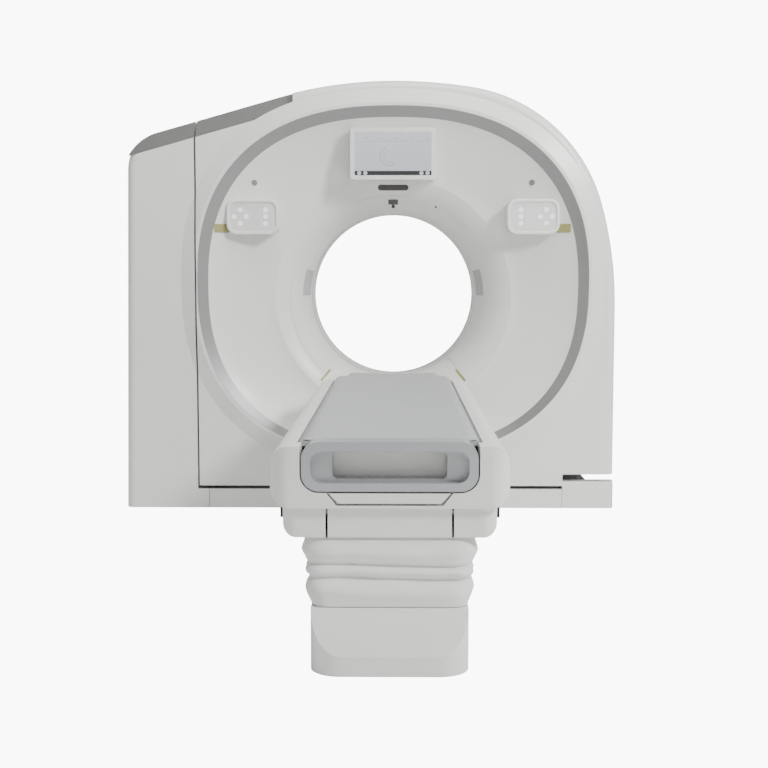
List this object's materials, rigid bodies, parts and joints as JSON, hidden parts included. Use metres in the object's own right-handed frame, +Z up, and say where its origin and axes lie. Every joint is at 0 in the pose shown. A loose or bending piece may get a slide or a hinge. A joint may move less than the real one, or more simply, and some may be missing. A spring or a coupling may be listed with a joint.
{
  "type": "ct scanner",
  "caption": "CT scanner: tilting ring gantry on a fixed tower and base, spinning X-ray rotor inside, and a lifting patient table with sliding cradle, mat, end handle and bellows.",
  "frame": {"origin": "on the floor, straight under the centre of the bore, in the scan plane", "axes": "+Y from the table into the gantry, +X to the right as seen from the table, +Z up"},
  "size_m": [2.144, 3.281, 1.855],
  "materials": {
    "cover_white": "satin moulded cover",
    "dish_white": "satin moulded cover",
    "panel_white": "satin inlaid panel",
    "bezel_white": "smooth",
    "pad_white": "smooth",
    "trim_grey": "satin grey paint",
    "silver_paint": "metallic silver paint",
    "handle_silver": "metallic silver paint",
    "screen_glass": "glossy screen",
    "dark_window": "glossy dark",
    "lens_grey": "glossy",
    "key_light": "lit key",
    "clear_window": "thin translucent film",
    "mat_vinyl": "coated vinyl mat",
    "cradle_shell": "smooth composite",
    "bellows_cloth": "coated cloth",
    "frame_paint": "satin paint",
    "dark_steel": "satin paint",
    "bearing_steel": "ground",
    "machine_grey": "satin paint",
    "cast_drum": "machined casting",
    "cooler_alloy": "extruded",
    "slip_ring_brass": "turned",
    "dark_rubber": "moulded"
  },
  "bodies": {
    "stand": {"base_plate": "dark_steel", "table_floor_plate": "dark_steel", "pillars": "frame_paint", "tilt_bearings": "bearing_steel", "tilt_gearmotor": "machine_grey", "power_unit": "machine_grey", "tower_cover": "cover_white", "tower_top_trim": "trim_grey", "plinth_panel": "cover_white", "corner_cover": "cover_white", "pedestal_cover": "cover_white", "column_outer_stage": "frame_paint", "lift_spindle": "bearing_steel", "bellows": "bellows_cloth"},
    "gantry": {"front_cover": "cover_white", "gantry_shell": "cover_white", "gantry_top_trim": "trim_grey", "rear_cover": "cover_white", "silver_ring": "silver_paint", "dish_cover": "dish_white", "bore_funnel": "dish_white", "bore_liner": "dish_white", "scan_window": "clear_window", "rear_liner": "dish_white", "crescent_panels": "panel_white", "bridge_panel": "panel_white", "laser_window": "dark_window", "monitor_bezel": "bezel_white", "monitor_screen": "screen_glass", "camera_window": "dark_window", "marker_lenses": "lens_grey", "control_pads": "pad_white", "pad_keys": "key_light", "tilt_frame": "frame_paint", "trunnions": "bearing_steel", "outer_race": "bearing_steel"},
    "rotor": {"rotor_drum": "cast_drum", "inner_race": "bearing_steel", "slip_ring": "slip_ring_brass", "xray_tube": "machine_grey", "collimator": "dark_steel", "detector_arc": "machine_grey", "high_voltage_generator": "machine_grey", "heat_exchanger": "cooler_alloy", "counterweight": "dark_steel"},
    "middle_stage": {"column_middle_stage": "frame_paint"},
    "lift": {"column_inner_stage": "frame_paint", "side_lower_covers": "cover_white", "centre_lower_cover": "cover_white", "carriage_frame": "frame_paint", "side_bumpers": "dark_rubber"},
    "shift": {"table_body": "cover_white", "table_end_panel": "cover_white", "guide_rails": "cooler_alloy", "feed_drive": "machine_grey"},
    "cradle": {"cradle": "cradle_shell", "mat": "mat_vinyl", "feed_rack": "bearing_steel", "end_handle": "handle_silver", "handle_backing": "cover_white"}
  },
  "joints": [
    {"name": "gantry_tilt", "type": "hinge", "parent": "stand", "child": "gantry", "pos_m": [0, 0, 0.93], "axis": [1, 0, 0], "range_deg": [-2, 18]},
    {"name": "rotor_spin", "type": "hinge", "parent": "gantry", "child": "rotor", "pos_m": [0, 0, 0.93], "axis": [0, 1, 0], "continuous": true},
    {"name": "table_lift", "type": "slide", "parent": "stand", "child": "lift", "axis": [0, 0, 1], "range_m": [0, 0.32]},
    {"name": "middle_stage_lift", "type": "slide", "parent": "stand", "child": "middle_stage", "axis": [0, 0, 1], "range_m": [0, 0.16]},
    {"name": "table_shift", "type": "slide", "parent": "lift", "child": "shift", "axis": [1, 0, 0], "range_m": [-0.03, 0.03]},
    {"name": "cradle_slide", "type": "slide", "parent": "shift", "child": "cradle", "axis": [0, 1, 0], "range_m": [0, 0.64]}
  ],
  "couplings": [
    {"joint": "cradle_slide", "follows": "table_lift", "ratio": 2},
    {"joint": "middle_stage_lift", "follows": "table_lift", "ratio": 0.5}
  ]
}
